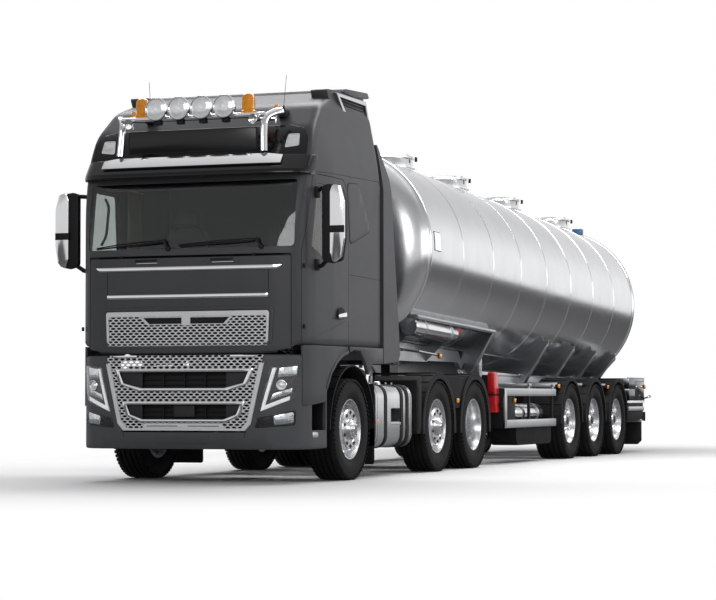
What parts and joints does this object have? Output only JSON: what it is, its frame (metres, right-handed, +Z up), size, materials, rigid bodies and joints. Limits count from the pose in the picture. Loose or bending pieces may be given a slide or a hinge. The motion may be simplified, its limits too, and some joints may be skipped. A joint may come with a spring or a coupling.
{
  "type": "tanker truck",
  "caption": "Articulated tanker truck: high-roof tractor with a steered front axle and a round stainless tank semi-trailer hinged at its kingpin.",
  "frame": {"origin": "on the ground under the middle of the lorry's bounding box", "axes": "+Z up, -Y towards the front of the tractor, +X its left (driver's) side"},
  "size_m": [3.08, 14.334, 3.98],
  "materials": {
    "tyre_rubber": "matt",
    "wheel_alloy": "polished",
    "frame_paint": "satin",
    "engine_iron": "rough",
    "axle_iron": "painted black",
    "cab_paint": "satin dark grey",
    "window_glass": "clear",
    "cab_trim": "soft",
    "black_plastic": "moulded",
    "lamp_plastic": "clear over black",
    "tank_aluminium": "bright",
    "coupling_iron": "greased",
    "bright_chrome": "polished",
    "polished_stainless": "polished",
    "frame_stainless": "satin",
    "cabinet_stainless": "dark mirror"
  },
  "bodies": {
    "tractor": {"chassis_frame": "frame_paint", "engine_block": "engine_iron", "tractor_axles": "axle_iron", "cab_shell": "cab_paint", "windscreen": "window_glass", "cab_interior": "cab_trim", "front_bumper": "cab_paint", "lower_grille": "black_plastic", "headlamps": "lamp_plastic", "fuel_tanks": "tank_aluminium", "tractor_mudguards": "black_plastic", "fifth_wheel": "coupling_iron", "roof_bar": "bright_chrome", "side_fairings": "cab_paint"},
    "front_flap": {"front_flap": "cab_paint", "upper_grille": "bright_chrome"},
    "trailer": {"tank_barrel": "polished_stainless", "turret_necks": "polished_stainless", "trailer_frame": "frame_stainless", "trailer_axles": "axle_iron", "side_guards": "tank_aluminium", "trailer_mudguards": "black_plastic", "rear_cabinet": "cabinet_stainless", "rear_ladder": "tank_aluminium"},
    "knuckle_left": {"knuckle_left": "axle_iron"},
    "wheel_front_left": {"tyre_front_left": "tyre_rubber", "rim_front_left": "wheel_alloy"},
    "wheel_pusher_left": {"tyre_pusher_left": "tyre_rubber", "rim_pusher_left": "wheel_alloy"},
    "wheel_drive_left": {"tyre_drive_left": "tyre_rubber", "rim_drive_left": "wheel_alloy"},
    "wheel_trailer_1_left": {"tyre_trailer_1_left": "tyre_rubber", "rim_trailer_1_left": "wheel_alloy"},
    "wheel_trailer_2_left": {"tyre_trailer_2_left": "tyre_rubber", "rim_trailer_2_left": "wheel_alloy"},
    "wheel_trailer_3_left": {"tyre_trailer_3_left": "tyre_rubber", "rim_trailer_3_left": "wheel_alloy"},
    "door_left": {"door_left": "cab_paint", "door_glass_left": "window_glass", "mirror_left": "bright_chrome"},
    "knuckle_right": {"knuckle_right": "axle_iron"},
    "wheel_front_right": {"tyre_front_right": "tyre_rubber", "rim_front_right": "wheel_alloy"},
    "wheel_pusher_right": {"tyre_pusher_right": "tyre_rubber", "rim_pusher_right": "wheel_alloy"},
    "wheel_drive_right": {"tyre_drive_right": "tyre_rubber", "rim_drive_right": "wheel_alloy"},
    "wheel_trailer_1_right": {"tyre_trailer_1_right": "tyre_rubber", "rim_trailer_1_right": "wheel_alloy"},
    "wheel_trailer_2_right": {"tyre_trailer_2_right": "tyre_rubber", "rim_trailer_2_right": "wheel_alloy"},
    "wheel_trailer_3_right": {"tyre_trailer_3_right": "tyre_rubber", "rim_trailer_3_right": "wheel_alloy"},
    "door_right": {"door_right": "cab_paint", "door_glass_right": "window_glass", "mirror_right": "bright_chrome"},
    "lid_1": {"manhole_lid_1": "polished_stainless"},
    "lid_2": {"manhole_lid_2": "polished_stainless"},
    "lid_3": {"manhole_lid_3": "polished_stainless"},
    "lid_4": {"manhole_lid_4": "polished_stainless"}
  },
  "joints": [
    {"name": "steer_left", "type": "hinge", "parent": "tractor", "child": "knuckle_left", "pos_m": [0.93, -5.74, 0.507], "axis": [0, 0, 1], "range_deg": [-40, 40]},
    {"name": "spin_front_left", "type": "hinge", "parent": "knuckle_left", "child": "wheel_front_left", "pos_m": [1.055, -5.74, 0.507], "axis": [1, 0, 0], "continuous": true},
    {"name": "spin_pusher_left", "type": "hinge", "parent": "tractor", "child": "wheel_pusher_left", "pos_m": [1.055, -2.96, 0.507], "axis": [1, 0, 0], "continuous": true},
    {"name": "spin_drive_left", "type": "hinge", "parent": "tractor", "child": "wheel_drive_left", "pos_m": [0.885, -1.61, 0.507], "axis": [1, 0, 0], "continuous": true},
    {"name": "spin_trailer_1_left", "type": "hinge", "parent": "trailer", "child": "wheel_trailer_1_left", "pos_m": [1.0125, 2.76, 0.507], "axis": [1, 0, 0], "continuous": true},
    {"name": "spin_trailer_2_left", "type": "hinge", "parent": "trailer", "child": "wheel_trailer_2_left", "pos_m": [1.0125, 4.075, 0.507], "axis": [1, 0, 0], "continuous": true},
    {"name": "spin_trailer_3_left", "type": "hinge", "parent": "trailer", "child": "wheel_trailer_3_left", "pos_m": [1.0125, 5.39, 0.507], "axis": [1, 0, 0], "continuous": true},
    {"name": "door_hinge_left", "type": "hinge", "parent": "tractor", "child": "door_left", "pos_m": [1.172, -6.96, 1.79], "axis": [0, 0, -1], "range_deg": [0, 70]},
    {"name": "steer_right", "type": "hinge", "parent": "tractor", "child": "knuckle_right", "pos_m": [-0.93, -5.74, 0.507], "axis": [0, 0, 1], "range_deg": [-40, 40]},
    {"name": "spin_front_right", "type": "hinge", "parent": "knuckle_right", "child": "wheel_front_right", "pos_m": [-1.055, -5.74, 0.507], "axis": [1, 0, 0], "continuous": true},
    {"name": "spin_pusher_right", "type": "hinge", "parent": "tractor", "child": "wheel_pusher_right", "pos_m": [-1.055, -2.96, 0.507], "axis": [1, 0, 0], "continuous": true},
    {"name": "spin_drive_right", "type": "hinge", "parent": "tractor", "child": "wheel_drive_right", "pos_m": [-0.885, -1.61, 0.507], "axis": [1, 0, 0], "continuous": true},
    {"name": "spin_trailer_1_right", "type": "hinge", "parent": "trailer", "child": "wheel_trailer_1_right", "pos_m": [-1.0125, 2.76, 0.507], "axis": [1, 0, 0], "continuous": true},
    {"name": "spin_trailer_2_right", "type": "hinge", "parent": "trailer", "child": "wheel_trailer_2_right", "pos_m": [-1.0125, 4.075, 0.507], "axis": [1, 0, 0], "continuous": true},
    {"name": "spin_trailer_3_right", "type": "hinge", "parent": "trailer", "child": "wheel_trailer_3_right", "pos_m": [-1.0125, 5.39, 0.507], "axis": [1, 0, 0], "continuous": true},
    {"name": "door_hinge_right", "type": "hinge", "parent": "tractor", "child": "door_right", "pos_m": [-1.172, -6.96, 1.79], "axis": [0, 0, 1], "range_deg": [0, 70]},
    {"name": "front_flap_hinge", "type": "hinge", "parent": "tractor", "child": "front_flap", "pos_m": [0, -7.075, 2.191], "axis": [-1, 0, 0], "range_deg": [0, 75]},
    {"name": "fifth_wheel_yaw", "type": "hinge", "parent": "tractor", "child": "trailer", "pos_m": [0, -2.21, 1.25], "axis": [0, 0, 1], "range_deg": [-90, 90]},
    {"name": "lid_hinge_1", "type": "hinge", "parent": "trailer", "child": "lid_1", "pos_m": [-0.325, -1.14065, 3.71766], "axis": [0, -0.9995, 0.031], "range_deg": [0, 100]},
    {"name": "lid_hinge_2", "type": "hinge", "parent": "trailer", "child": "lid_2", "pos_m": [-0.325, 1.01935, 3.6507], "axis": [0, -0.9995, 0.031], "range_deg": [0, 100]},
    {"name": "lid_hinge_3", "type": "hinge", "parent": "trailer", "child": "lid_3", "pos_m": [-0.325, 3.44935, 3.57537], "axis": [0, -0.9995, 0.031], "range_deg": [0, 100]},
    {"name": "lid_hinge_4", "type": "hinge", "parent": "trailer", "child": "lid_4", "pos_m": [-0.325, 6.12935, 3.49229], "axis": [0, -0.9995, 0.031], "range_deg": [0, 100]}
  ],
  "couplings": [
    {"joint": "steer_right", "follows": "steer_left", "ratio": 1}
  ]
}
